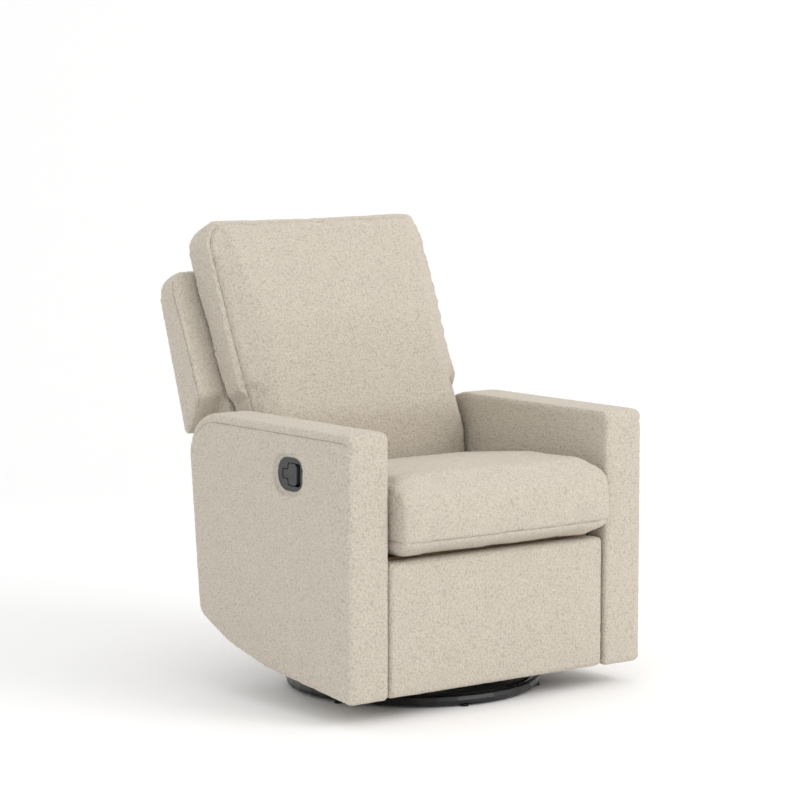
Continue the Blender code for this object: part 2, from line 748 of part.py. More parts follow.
def build_arms(chair):
    outer = arm_corners()
    padding = [-0.02, -0.02, -0.02, ARM_PADDING, ARM_PADDING, ARM_PADDING]
    cavity = offset_corners(outer, padding)
    wood = offset_corners(outer, [0.006, 0.006, 0.006] + [ARM_PADDING + TOUCH] * 3)
    post = (0.050, 0.255, 0.300)
    band = (0.262, 0.335)
    windows = [
        [(post[0], 0.110), (post[1], 0.120), (post[1], ARM_HEIGHT - 0.050), (post[0], ARM_HEIGHT - 0.050)],
        [
            (post[2], 0.140),
            (ARM_DEPTH * 0.78, 0.185),
            (ARM_DEPTH * 0.82, band[0]),
            (post[2], band[0]),
        ],
        [
            (post[2], band[1]),
            (ARM_DEPTH * 0.84, band[1]),
            (ARM_DEPTH * 0.84, ARM_HEIGHT - 0.090),
            (ARM_DEPTH * 0.78, ARM_HEIGHT - 0.055),
            (post[2], ARM_HEIGHT - 0.055),
        ],
    ]
    holes = [rounded([(*corner, 0.010) for corner in window], 3) for window in windows]
    holes += [circle(*bolt, ARM_BOLT_RADIUS + PIVOT_PLAY, 12) for bolt in ARM_BOLTS]
    inside = ARM_INNER + ARM_PADDING
    outside = CHAIR_WIDTH / 2 - ARM_PADDING
    for hand, side in SIDES:
        ends = both_ends(side, inside + TOUCH, outside - TOUCH)
        plate(f"arm_frame_{hand}", [rounded(wood, 4), *holes], *ends, "wood", chair)
        ends = both_ends(side, ARM_INNER, CHAIR_WIDTH / 2)
        cover = plate(f"arm_cover_{hand}", [rounded(outer)], *ends, "boucle", chair)
        soften(cover, ARM_EDGE, 2)
        ends = both_ends(side, inside, outside)
        combine(cover, plate_mesh("cavity", [rounded(cavity, 4)], *ends, SIDE_VIEW), "DIFFERENCE")
        for depth, height in ARM_BOLTS:
            start = side_point(depth, height, side * (ARM_INNER - 0.010))
            end = side_point(depth, height, side * (inside + 0.005))
            bolt_hole = rod_mesh("hole", start, end, ARM_BOLT_RADIUS + PIVOT_PLAY, 12)
            combine(cover, bolt_hole, "DIFFERENCE")
        if side < 0:
            cup = [side_size + 2 * 0.0015 for side_size in HANDLE_CUP]
            pocket = box_outline(*cup, 0.016, HANDLE_DEPTH, HANDLE_HEIGHT)
            pocket_ends = (-CHAIR_WIDTH / 2 - 0.01, -outside + 0.005)
            pocket_mesh = plate_mesh("pocket", [pocket], *pocket_ends, SIDE_VIEW)
            combine(cover, pocket_mesh, "DIFFERENCE")
            start = side_point(*CABLE_HOLE, -ARM_INNER + 0.01)
            end = side_point(*CABLE_HOLE, -inside - 0.005)
            combine(cover, rod_mesh("hole", start, end, CABLE_RADIUS + 0.002, 12), "DIFFERENCE")


def build_handle(chair, lever_axis):
    face = -CHAIR_WIDTH / 2
    front = face - TOUCH - HANDLE_FLANGE_THICKNESS
    back = face + HANDLE_CUP_DEPTH
    outline = box_outline(*HANDLE_FLANGE, HANDLE_CORNER, HANDLE_DEPTH, HANDLE_HEIGHT)
    bezel = plate("handle_bezel", [outline], front, face - TOUCH, "plastic", chair)
    body = box_outline(*HANDLE_CUP, HANDLE_CUP_CORNER, HANDLE_DEPTH, HANDLE_HEIGHT)
    combine(bezel, plate_mesh("body", [body], front + 0.001, back, SIDE_VIEW), "UNION")
    hollow_size = [size - 2 * HANDLE_WALL for size in HANDLE_CUP]
    hollow_corner = HANDLE_CUP_CORNER - HANDLE_WALL
    hollow = box_outline(*hollow_size, hollow_corner, HANDLE_DEPTH, HANDLE_HEIGHT)
    hollow_mesh = plate_mesh("hollow", [hollow], face + TOUCH, back - HANDLE_WALL, SIDE_VIEW)
    combine(bezel, hollow_mesh, "DIFFERENCE")
    stem, (bar_width, bar_height) = LEVER_STEM / 2, LEVER_BAR

    def tee(rear, stem, bar_rear, bar_half, bar_front, front_corner):
        """A T lying on its side, the stem to the rear."""
        shape = [
            (rear, -stem, 0.003),
            (rear, stem, 0.003),
            (bar_rear, stem, 0.004),
            (bar_rear, bar_half, 0.008),
            (-bar_front, bar_half, front_corner),
            (-bar_front, -bar_half, front_corner),
            (bar_rear, -bar_half, 0.008),
            (bar_rear, -stem, 0.004),
        ]
        spots = [(HANDLE_DEPTH + a, HANDLE_HEIGHT + b, radius) for a, b, radius in shape]
        return rounded(spots, 4)

    opening = tee(
        LEVER_REAR + LEVER_GAP + 0.0005,
        stem + LEVER_GAP,
        LEVER_BAR_REAR + LEVER_GAP,
        bar_height / 2 + LEVER_GAP,
        HANDLE_GRIP_END,
        0.008,
    )
    opening_mesh = plate_mesh("opening", [opening], front - 0.01, face + 0.005, SIDE_VIEW)
    combine(bezel, opening_mesh, "DIFFERENCE")

    lever_front = front + LEVER_SINK
    half_cup = HANDLE_CUP[1] / 2
    pin_half = half_cup - 0.003
    pin_hole = rod_mesh(
        "hole",
        side_point(LEVER_PIN_DEPTH, HANDLE_HEIGHT - half_cup - 0.005, LEVER_PIN_X),
        side_point(LEVER_PIN_DEPTH, HANDLE_HEIGHT + half_cup + 0.005, LEVER_PIN_X),
        LEVER_PIN_RADIUS + PIVOT_PLAY,
    )
    combine(bezel, pin_hole, "DIFFERENCE")
    outline = tee(
        LEVER_REAR, stem, LEVER_BAR_REAR, bar_height / 2, bar_width - LEVER_BAR_REAR, 0.010
    )
    lever = plate(
        "release_lever",
        [outline],
        lever_front,
        lever_front + LEVER_THICKNESS,
        "plastic",
        lever_axis,
    )
    soften(lever, 0.0015, 1)
    pin = rod_mesh(
        "pin",
        side_point(LEVER_PIN_DEPTH, HANDLE_HEIGHT - pin_half, LEVER_PIN_X),
        side_point(LEVER_PIN_DEPTH, HANDLE_HEIGHT + pin_half, LEVER_PIN_X),
        LEVER_PIN_RADIUS,
    )
    combine(lever, pin, "UNION")
    lane = back + 0.018
    fall = HANDLE_HEIGHT - CABLE_HOLE[1]
    route = [
        (HANDLE_DEPTH, HANDLE_HEIGHT, back + TOUCH),
        (HANDLE_DEPTH, HANDLE_HEIGHT, back + 0.006),
        (HANDLE_DEPTH, HANDLE_HEIGHT - 0.02 * fall, back + 0.011),
        (HANDLE_DEPTH - 0.001, HANDLE_HEIGHT - 0.08 * fall, back + 0.016),
        (HANDLE_DEPTH - 0.004, HANDLE_HEIGHT - 0.20 * fall, lane),
        (HANDLE_DEPTH - 0.008, HANDLE_HEIGHT - 0.42 * fall, lane),
        (HANDLE_DEPTH - 0.010, HANDLE_HEIGHT - 0.66 * fall, lane),
        (HANDLE_DEPTH - 0.008, HANDLE_HEIGHT - 0.86 * fall, lane + 0.001),
        (CABLE_HOLE[0] + 0.001, HANDLE_HEIGHT - 0.95 * fall, lane + 0.006),
        (CABLE_HOLE[0], HANDLE_HEIGHT - 0.99 * fall, lane + 0.018),
        (*CABLE_HOLE, lane + 0.028),
        (*CABLE_HOLE, -PLATE_INNER + 0.004),
    ]
    points = [side_point(depth, height, x) for depth, height, x in route]
    tube("release_cable", points, CABLE_RADIUS, "plastic", chair)


# Footrest


def footrest_points():
    """Pivots of the footrest linkage at rest, as (depth, height)."""
    pivot = Vector(FOOT_PIVOT)
    arm = Vector((-math.sin(FOOT_ARM_REST), -math.cos(FOOT_ARM_REST)))
    riser = Vector((-math.sin(FOOT_RISER_REST), math.cos(FOOT_RISER_REST)))
    coupler = Vector((math.sin(FOOT_COUPLER_REST), math.cos(FOOT_COUPLER_REST))) * FOOT_COUPLER
    knee = pivot + arm * FOOT_ARM
    head = knee + riser * FOOT_RISER
    return {
        "pivot": pivot,
        "tube": pivot + arm * (FOOT_ARM - FOOT_TUBE_FROM_KNEE),
        "knee": knee,
        "guide_knee": knee + coupler,
        "head": head,
        "guide_head": head + coupler,
    }


def stud(obj, spot, start_x, end_x):
    ends = side_point(*spot, start_x), side_point(*spot, end_x)
    combine(obj, rod_mesh("stud", *ends, STUD_RADIUS - 0.001, 12), "UNION")


def build_footrest(axes):
    at = footrest_points()
    hole = STUD_RADIUS - 0.001 + PIVOT_PLAY
    for hand, side in SIDES:
        arm_ends = both_ends(side, ARM_LINK_OUTER - STRIP, ARM_LINK_OUTER)
        bar = strip_outline(at["pivot"], at["knee"], STRIP_WIDTH)
        arm_hole = circle(*at["pivot"], STUD_RADIUS + PIVOT_PLAY)
        arm = plate(f"footrest_arm_{hand}", [bar, arm_hole], *arm_ends, "steel", axes["arm"])
        riser_reach = side * (RISER_OUTER - STRIP - 0.001)
        guide_reach = side * (GUIDE_OUTER + 0.001)
        stud(arm, at["knee"], side * (ARM_LINK_OUTER - 0.001), riser_reach)
        stud(arm, at["guide_knee"], side * (ARM_LINK_OUTER - STRIP + 0.001), guide_reach)

        bar = strip_outline(at["knee"], at["head"], STRIP_WIDTH)
        holes = [circle(*at[spot], hole) for spot in ("knee", "head")]
        ends = both_ends(side, RISER_OUTER - STRIP, RISER_OUTER)
        plate(f"footrest_riser_{hand}", [bar, *holes], *ends, "steel", axes["riser"])

        bar = strip_outline(at["guide_knee"], at["guide_head"], STRIP_WIDTH * 0.9)
        holes = [circle(*at[spot], hole) for spot in ("guide_knee", "guide_head")]
        ends = both_ends(side, GUIDE_OUTER - STRIP, GUIDE_OUTER)
        plate(f"footrest_guide_{hand}", [bar, *holes], *ends, "steel", axes["guide"])

        head, guide_head = at["head"], at["guide_head"]
        board_rear = PANEL_THICKNESS + TOUCH
        half = STRIP_WIDTH / 2
        corners = [
            (board_rear, head.y - 0.060, 0.002),
            (board_rear + 0.014, head.y - 0.060, 0.006),
            (head.x + half, head.y - half, 0.009),
            (guide_head.x + half * 0.9, guide_head.y + half * 0.9, 0.009),
            (board_rear, guide_head.y + half * 0.9, 0.002),
        ]
        bracket = plate(
            f"footrest_bracket_{hand}", [rounded(corners)], *arm_ends, "steel", axes["panel"]
        )
        stud(bracket, head, side * (ARM_LINK_OUTER - 0.001), riser_reach)
        stud(bracket, guide_head, side * (ARM_LINK_OUTER - STRIP + 0.001), guide_reach)

    span = ARM_LINK_OUTER - STRIP - TOUCH
    tube_ends = side_point(*at["tube"], -span), side_point(*at["tube"], span)
    rod("footrest_tube", *tube_ends, FOOT_TUBE_RADIUS, "steel", axes["arm"])

    inset = BETWEEN_ARMS - PANEL_WRAP
    front = FRONT_Y + PANEL_THICKNESS - BOARD_THICKNESS
    rear = FRONT_Y + PANEL_THICKNESS
    wrap = 0.010
    low = (-inset + TOUCH, front + TOUCH, PANEL_BOTTOM + wrap + TOUCH)
    high = (inset - TOUCH, rear, PANEL_TOP - wrap - TOUCH)
    block("footrest_board", low, high, "wood", axes["panel"])
    pad = block(
        "footrest_pad",
        (-BETWEEN_ARMS, FRONT_Y, PANEL_BOTTOM),
        (BETWEEN_ARMS, rear, PANEL_TOP),
        "boucle",
        axes["panel"],
    )
    soften(pad, 0.008, 2)
    recess = block_mesh(
        "recess", (-inset, front, PANEL_BOTTOM + wrap), (inset, rear + 0.02, PANEL_TOP - wrap)
    )
    combine(pad, recess, "DIFFERENCE")


# Back


def build_back(axis):
    frame_rear = BACK_FRAME_FRONT - BACK_FRAME_THICKNESS
    stile_outer = BRACKET_INNER - TOUCH
    rail_low, rail_high = 0.032, 0.585
    opening = box_outline(
        2 * (stile_outer - BACK_STILE),
        rail_high - rail_low - 2 * BACK_RAIL,
        0.010,
        0,
        (rail_low + rail_high) / 2,
    )
    outer = box_outline(2 * stile_outer, rail_high - rail_low, 0.006, 0, (rail_low + rail_high) / 2)
    plate("back_frame", [outer, opening], frame_rear, BACK_FRAME_FRONT, "wood", axis, BACK_FACE)

    middle = (BACK_FRAME_FRONT + frame_rear) / 2
    for spring in range(BACK_SPRINGS):
        x = (spring + 0.5 - BACK_SPRINGS / 2) * 0.20
        start = BACK_FRAME @ Vector((x, -middle, rail_low + BACK_RAIL + SPRING_WIRE))
        end = BACK_FRAME @ Vector((x, -middle, rail_high - BACK_RAIL - SPRING_WIRE))
        wire = sinuous(start, end, SPRING_SWING, SPRING_WAVES, (1, 0, 0))
        tube(f"back_spring_{spring + 1}", wire, SPRING_WIRE, "zinc", axis, resolution=1)

    strap = 0.026
    corners = [
        (-0.014, -0.014, 0.013),
        (0.014, -0.014, 0.013),
        (0.014, 0.012, 0.010),
        (middle + strap / 2, BACK_SHELL_BOTTOM - 0.010, 0.012),
        (middle + strap / 2, BACK_BRACKET_TOP, 0.008),
        (middle - strap / 2, BACK_BRACKET_TOP, 0.008),
        (middle - strap / 2, BACK_SHELL_BOTTOM - 0.022, 0.012),
    ]
    for hand, side in SIDES:
        ends = both_ends(side, BRACKET_INNER, BRACKET_INNER + BACK_BRACKET)
        outlines = [rounded(corners), circle(0, 0, SHAFT_RADIUS + PIVOT_PLAY)]
        plate(f"back_bracket_{hand}", outlines, *ends, "steel", axis, BACK_SIDE)

    wings = rounded(
        [
            (0.011, BACK_WING_FRONT, 0.014),
            (-0.0095, BACK_TOP, 0.020),
            (-0.0625, BACK_TOP, 0.020),
            (-0.078, BACK_WING_FRONT - 0.010, 0.200),
            (-0.0845, BACK_WING_TIP, 0.012),
        ]
    )
    shell = plate(
        "back_shell", [wings], -BACK_HALF_WIDTH, BACK_HALF_WIDTH, "boucle", axis, BACK_SIDE
    )
    front_view = rounded(
        [
            (-BACK_HALF_WIDTH - 0.01, 0.10, 0),
            (BACK_HALF_WIDTH + 0.01, 0.10, 0),
            (BACK_HALF_WIDTH, BACK_WING_FRONT, 0),
            (BACK_HALF_WIDTH - 0.004, BACK_TOP + 0.001, BACK_TOP_RADIUS),
            (-BACK_HALF_WIDTH + 0.004, BACK_TOP + 0.001, BACK_TOP_RADIUS),
            (-BACK_HALF_WIDTH, BACK_WING_FRONT, 0),
        ]
    )
    combine(shell, plate_mesh("face", [front_view], -0.2, 0.1, BACK_FACE), "INTERSECT")
    lower_side = [
        Vector(point)
        for point in (
            (0.004, BACK_FLAP_BOTTOM),
            (0.010, BACK_WING_FRONT + 0.020),
            (-0.074, BACK_WING_FRONT + 0.020),
            (-0.082, BACK_FLAP_BOTTOM),
        )
    ]
    join = BACK_WING_FRONT + 0.020
    step = BACK_SHELL_BOTTOM
    lower_face = rounded(
        [
            (-BACK_FLAP_HALF_WIDTH, BACK_FLAP_BOTTOM - 0.01, 0),
            (BACK_FLAP_HALF_WIDTH, BACK_FLAP_BOTTOM - 0.01, 0),
            (BACK_FLAP_HALF_WIDTH, step, 0.004),
            (BETWEEN_ARMS, step, 0.008),
            (BETWEEN_ARMS, join + 0.01, 0),
            (-BETWEEN_ARMS, join + 0.01, 0),
            (-BETWEEN_ARMS, step, 0.008),
            (-BACK_FLAP_HALF_WIDTH, step, 0.004),
        ]
    )
    lower = plate_mesh("lower", [lower_side], -BETWEEN_ARMS - 0.01, BETWEEN_ARMS + 0.01, BACK_SIDE)
    lower_helper = combine(shell, lower, "UNION")
    combine(lower_helper, plate_mesh("face", [lower_face], -0.2, 0.1, BACK_FACE), "INTERSECT")
    cavity = box_outline(
        2 * BACK_CAVITY_HALF_WIDTH, rail_high + TOUCH + 0.2, 0.006, 0, (rail_high + TOUCH - 0.2) / 2
    )
    cavity_ends = frame_rear - TOUCH, BACK_FRAME_FRONT + TOUCH
    combine(shell, plate_mesh("cavity", [cavity], *cavity_ends, BACK_FACE), "DIFFERENCE")

    profile = rounded(
        [
            (0.010, 0.050, 0.010),
            (0.040, 0.050, 0.015),
            (0.118, 0.205, 0.120),
            (0.129, 0.420, 0.300),
            (0.098, BACK_CUSHION_TOP, 0.050),
            (-0.004, BACK_CUSHION_TOP, 0.045),
            (-0.001, 0.560, 0.100),
            (0.0145, BACK_WING_FRONT, 0.100),
        ]
    )
    cushion = plate(
        "back_cushion",
        [profile],
        -BACK_CUSHION_HALF_WIDTH,
        BACK_CUSHION_HALF_WIDTH,
        "boucle",
        axis,
        BACK_SIDE,
    )
    wide, narrow = BACK_CUSHION_HALF_WIDTH, BETWEEN_ARMS
    top, step = BACK_CUSHION_TOP, BACK_CUSHION_STEP
    face = rounded(
        [
            (-narrow, 0.040, 0.030),
            (narrow, 0.040, 0.030),
            (narrow, step, 0.005),
            (wide, step + 0.015, 0.010),
            (wide, top + 0.001, 0.065),
            (-wide, top + 0.001, 0.065),
            (-wide, step + 0.015, 0.010),
            (-narrow, step, 0.005),
        ]
    )
    combine(cushion, plate_mesh("face", [face], -0.2, 0.3, BACK_FACE), "INTERSECT")
    edge, flat = BACK_CUSHION_EDGE, BACK_CUSHION_FLAT
    crown = rounded(
        [
            (-wide - 0.01, -0.080, 0.002),
            (wide + 0.01, -0.080, 0.002),
            (wide + 0.01, edge, 0.002),
            (wide - 0.012, edge + 0.001, 0.012),
            (flat, 0.131, 0.120),
            (-flat, 0.131, 0.120),
            (-wide + 0.012, edge + 0.001, 0.012),
            (-wide - 0.01, edge, 0.002),
        ]
    )
    combine(cushion, plate_mesh("crown", [crown], -0.1, 0.8, BACK_PLAN), "INTERSECT")


clear_scene()
PARTS = new_collection("glider_nursery_chair")
CUTTERS = new_collection("cutters", hidden=True)


def build_chair():
    build_base()
    swivel = axis_at("swivel_axis", side_point(SWIVEL_DEPTH, TURNTABLE_BOTTOM))
    build_turntable(swivel)
    link_axes = {
        "front": axis_at("glide_front_axis", side_point(GLIDE_FRONT_DEPTH, GLIDE_TOP), swivel),
        "rear": axis_at("glide_rear_axis", side_point(GLIDE_REAR_DEPTH, GLIDE_TOP), swivel),
    }
    build_glide_links(link_axes)
    hang = side_point(GLIDE_FRONT_DEPTH, GLIDE_BOTTOM)
    chair = axis_at("chair_axis", hang, link_axes["front"])
    build_side_frames(chair)
    build_seat(chair)
    build_arms(chair)
    pin = side_point(LEVER_PIN_DEPTH, HANDLE_HEIGHT, LEVER_PIN_X)
    build_handle(chair, axis_at("lever_axis", pin, chair))
    at = footrest_points()
    arm_axis = axis_at("footrest_arm_axis", side_point(*at["pivot"]), chair)
    riser_axis = axis_at("footrest_riser_axis", side_point(*at["knee"]), arm_axis)
    build_footrest(
        {
            "arm": arm_axis,
            "riser": riser_axis,
            "guide": axis_at("footrest_guide_axis", side_point(*at["guide_knee"]), arm_axis),
            "panel": axis_at("footrest_panel_axis", side_point(*at["head"]), riser_axis),
        }
    )
    build_back(axis_at("recline_axis", side_point(*RECLINE_PIVOT), chair))


build_chair()
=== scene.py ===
"""Looks of the nursery glider chair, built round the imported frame. Metres, +Z up, sitter facing -Y."""

import json
import math

import bmesh
import bpy
import numpy as np
from mathutils import Matrix, Vector, noise
from mathutils.bvhtree import BVHTree


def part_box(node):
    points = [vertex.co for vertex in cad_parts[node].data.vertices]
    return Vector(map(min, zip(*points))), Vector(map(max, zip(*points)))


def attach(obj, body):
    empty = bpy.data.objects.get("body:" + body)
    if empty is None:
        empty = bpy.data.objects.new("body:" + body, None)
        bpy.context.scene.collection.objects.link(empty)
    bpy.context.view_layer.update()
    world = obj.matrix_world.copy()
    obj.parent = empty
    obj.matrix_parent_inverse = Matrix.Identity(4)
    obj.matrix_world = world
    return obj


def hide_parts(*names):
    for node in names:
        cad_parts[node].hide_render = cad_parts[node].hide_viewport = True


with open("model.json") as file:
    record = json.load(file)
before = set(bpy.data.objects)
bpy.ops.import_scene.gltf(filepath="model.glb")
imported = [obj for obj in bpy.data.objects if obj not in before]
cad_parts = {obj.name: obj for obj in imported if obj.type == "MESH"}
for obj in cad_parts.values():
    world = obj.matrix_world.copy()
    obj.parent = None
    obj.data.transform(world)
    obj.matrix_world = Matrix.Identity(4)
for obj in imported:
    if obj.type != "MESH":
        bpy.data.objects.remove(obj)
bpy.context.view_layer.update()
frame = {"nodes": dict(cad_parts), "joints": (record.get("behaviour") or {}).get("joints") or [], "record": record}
NODES = frame["nodes"]

# Where the pieces are, from the frame
ARM_LOW, ARM_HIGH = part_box("arm_cover_left")
SEAT_LOW, SEAT_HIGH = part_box("seat_cushion")
PANEL_LOW, PANEL_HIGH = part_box("footrest_pad")
FRONT_Y = ARM_LOW.y
ARM_TOP = ARM_HIGH.z
RECLINE = Vector(next(j["pos_m"] for j in frame["joints"] if j["name"] == "recline"))
BACK_LEAN = math.radians(22)
BACK_FRAME = Matrix.Translation(RECLINE) @ Matrix.Rotation(-BACK_LEAN, 4, "X")
TO_BACK = BACK_FRAME.inverted()

# Upholstery
VOXEL = 0.0065
SEAM_Z = 0.383
CUSHION_TOP = 0.698
CUSHION_HALF = 0.312
CUSHION_FOOT_HALF = SEAT_HIGH.x
CUSHION_STEP = 0.280
CUSHION_CORNER = 0.072
WING_HALF = 0.368
SEAM_IN = 0.013
NUB = 0.0006
STITCH = 0.006  # the step between points of a seam
CLOTH_PRESSURE = 4.0
COVER_INSET = 0.006  # how far inside its solid a cushion starts to inflate


# Stage, camera and lights


def add_object(name, mesh, material=None):
    obj = bpy.data.objects.new(name, mesh)
    bpy.context.scene.collection.objects.link(obj)
    if material is not None:
        mesh.materials.clear()
        mesh.materials.append(material)
    return obj


def build_camera():
    azimuth, elevation, distance = math.radians(-37.62), math.radians(6.48), 6.947
    back = Vector(
        (
            math.sin(azimuth) * math.cos(elevation),
            -math.cos(azimuth) * math.cos(elevation),
            math.sin(elevation),
        )
    )
    data = bpy.data.cameras.new("camera")
    data.lens = 138.6
    data.sensor_width = 36
    camera = bpy.data.objects.new("camera", data)
    camera.location = Vector((0.0545, FRONT_Y + 0.421, 0.6207)) + back * distance
    camera.rotation_mode = "QUATERNION"
    camera.rotation_quaternion = back.to_track_quat("Z", "Y")
    bpy.context.scene.collection.objects.link(camera)
    bpy.context.scene.camera = camera
    return azimuth


def area_light(name, spot, aim, size, power, colour=(1, 1, 1)):
    data = bpy.data.lights.new(name, "AREA")
    data.shape = "RECTANGLE"
    data.size, data.size_y = size
    data.energy = power
    data.color = colour
    light = bpy.data.objects.new(name, data)
    light.location = spot
    light.rotation_mode = "QUATERNION"
    light.rotation_quaternion = (Vector(spot) - Vector(aim)).to_track_quat("Z", "Y")
    bpy.context.scene.collection.objects.link(light)


def build_stage(azimuth):
    """A pale floor that sweeps up into a wall behind the chair, and soft lights."""
    run = [(-9.0, 0.0), (3.0, 0.0)]
    run += [
        (3.0 + 2.5 * math.sin(t), 2.5 - 2.5 * math.cos(t))
        for t in np.linspace(0.1, math.pi / 2, 12)
    ]
    run += [(5.5, 8.0)]
    ahead = Vector((-math.sin(azimuth), math.cos(azimuth), 0))
    across = Vector((math.cos(azimuth), math.sin(azimuth), 0))
    shape = bmesh.new()
    rows = [
        [shape.verts.new(across * side + ahead * along + Vector((0, 0, up))) for side in (-9, 9)]
        for along, up in run
    ]
    for (a, b), (c, d) in zip(rows, rows[1:]):
        shape.faces.new((a, b, d, c))
    mesh = bpy.data.meshes.new("backdrop")
    shape.to_mesh(mesh)
    shape.free()
    mesh.shade_smooth()
    paper = bpy.data.materials.new("backdrop_paper")
    paper.use_nodes = True
    shader = paper.node_tree.nodes["Principled BSDF"]
    shader.inputs["Base Color"].default_value = (0.95, 0.95, 0.95, 1)
    shader.inputs["Roughness"].default_value = 0.9
    shader.inputs["Specular IOR Level"].default_value = 0.1
    add_object("backdrop", mesh, paper)

    world = bpy.data.worlds.new("studio")
    world.use_nodes = True
    background = world.node_tree.nodes["Background"]
    background.inputs["Color"].default_value = (1.0, 1.0, 1.0, 1)
    background.inputs["Strength"].default_value = 0.93
    bpy.context.scene.world = world
    area_light("key", (1.9, -4.2, 3.3), (0, 0, 0.5), (2.6, 2.6), 92, (1.0, 0.97, 0.94))
    area_light("fill", (-4.6, -2.0, 2.4), (0, 0, 0.5), (3.0, 3.0), 14, (0.94, 0.98, 0.97))
    area_light("over", (0.0, 0.6, 4.6), (0, 0.1, 0.0), (3.4, 3.4), 16)
    bpy.context.scene.view_settings.view_transform = "Standard"


# Materials


class Nodes:
    """A short way to write a material's nodes."""

    def __init__(self, name):
        self.material = bpy.data.materials.new(name)
        self.material.use_nodes = True
        self.tree = self.material.node_tree
        self.shader = self.tree.nodes["Principled BSDF"]
        self.where = self.add("ShaderNodeTexCoord").outputs["Object"]

    def add(self, kind, **values):
        node = self.tree.nodes.new(kind)
        for key, value in values.items():
            setattr(node, key, value)
        return node

    def link(self, start, end):
        self.tree.links.new(start, end)

    def set(self, **values):
        for key, value in values.items():
            self.shader.inputs[key.replace("_", " ")].default_value = value

    def noise(self, scale, detail=2.0, rough=0.5, where=None, stretch=None):
        node = self.add("ShaderNodeTexNoise")
        node.inputs["Scale"].default_value = scale
        node.inputs["Detail"].default_value = detail
        node.inputs["Roughness"].default_value = rough
        where = where or self.where
        if stretch:
            mapping = self.add("ShaderNodeMapping")
            mapping.inputs["Scale"].default_value = stretch
            self.link(where, mapping.inputs["Vector"])
            where = mapping.outputs["Vector"]
        self.link(where, node.inputs["Vector"])
        return node

    def ramp(self, value, stops):
        node = self.add("ShaderNodeValToRGB")
        elements = node.color_ramp.elements
        while len(elements) < len(stops):
            elements.new(0.5)
        for element, (position, colour) in zip(elements, stops):
            element.position = position
            element.color = (*colour, 1)
        self.link(value, node.inputs["Fac"])
        return node.outputs["Color"]

    def maths(self, operation, a, b):
        node = self.add("ShaderNodeMath", operation=operation)
        for socket, value in zip(node.inputs, (a, b)):
            if isinstance(value, (int, float)):
                socket.default_value = value
            else:
                self.link(value, socket)
        return node.outputs[0]

    def bump(self, height, distance, strength):
        node = self.add("ShaderNodeBump")
        node.inputs["Distance"].default_value = distance
        node.inputs["Strength"].default_value = strength
        self.link(height, node.inputs["Height"])
        return node.outputs["Normal"]

    def mix(self, factor, a, b, blend="MIX"):
        node = self.add("ShaderNodeMix", data_type="RGBA", blend_type=blend)
        if isinstance(factor, (int, float)):
            node.inputs[0].default_value = factor
        else:
            self.link(factor, node.inputs[0])
        for socket, value in ((node.inputs[6], a), (node.inputs[7], b)):
            if isinstance(value, tuple):
                socket.default_value = (*value, 1)
            else:
                self.link(value, socket)
        return node.outputs[2]


def boucle_material(name="boucle"):
    """Looped cream yarn: curls about 5 mm across, with painted shade between the loops and a painted highlight on
    their tops.
    """
    n = Nodes(name)
    curl = n.noise(150, 2.0, 0.6)
    wander = n.add("ShaderNodeVectorMath", operation="SCALE")
    n.link(curl.outputs["Color"], wander.inputs[0])
    wander.inputs["Scale"].default_value = 0.006
    spot = n.add("ShaderNodeVectorMath", operation="ADD")
    n.link(n.where, spot.inputs[0])
    n.link(wander.outputs["Vector"], spot.inputs[1])
    loops = n.add("ShaderNodeTexVoronoi", feature="SMOOTH_F1")
    loops.inputs["Scale"].default_value = 235
    loops.inputs["Smoothness"].default_value = 0.45
    n.link(spot.outputs["Vector"], loops.inputs["Vector"])
    knots = n.add("ShaderNodeTexVoronoi", feature="F1")
    knots.inputs["Scale"].default_value = 520
    n.link(spot.outputs["Vector"], knots.inputs["Vector"])
    loop_height = n.maths("SUBTRACT", 1.0, loops.outputs["Distance"])
    knot_height = n.maths("SUBTRACT", 1.0, knots.outputs["Distance"])
    fibre = n.noise(1500, 1.0, 0.7)
    height = n.maths("ADD", loop_height, n.maths("MULTIPLY", knot_height, 0.35))
    height = n.maths("ADD", height, n.maths("MULTIPLY", fibre.outputs["Fac"], 0.12))
    # Painted shade and highlight: this ramp, driven by loop height, darkens the yarn between the loops and
    # lightens the loop tops.
    stops = [
        (0.15, (0.470, 0.422, 0.352)),
        (0.42, (0.560, 0.504, 0.426)),
        (0.66, (0.605, 0.549, 0.470)),
        (0.92, (0.655, 0.600, 0.520)),
    ]
    colour = n.ramp(loop_height, stops)
    patches = n.noise(28, 3.0, 0.55)
    shade = n.ramp(patches.outputs["Fac"], [(0.3, (0.955, 0.960, 0.960)), (0.7, (1.0, 1.0, 0.995))])
    colour = n.mix(1.0, colour, shade, "MULTIPLY")
    flecks = n.noise(420, 1.0, 0.5)
    fleck = n.ramp(flecks.outputs["Fac"], [(0.40, (0.945, 0.94, 0.93)), (0.60, (1.02, 1.02, 1.02))])
    colour = n.mix(1.0, colour, fleck, "MULTIPLY")
    n.link(colour, n.shader.inputs["Base Color"])
    n.set(Roughness=0.95, Specular_IOR_Level=0.12, Sheen_Weight=0.28, Sheen_Roughness=0.55)
    n.shader.inputs["Sheen Tint"].default_value = (1.0, 0.96, 0.9, 1)
    n.link(n.bump(height, 0.0020, 0.85), n.shader.inputs["Normal"])
    return n.material


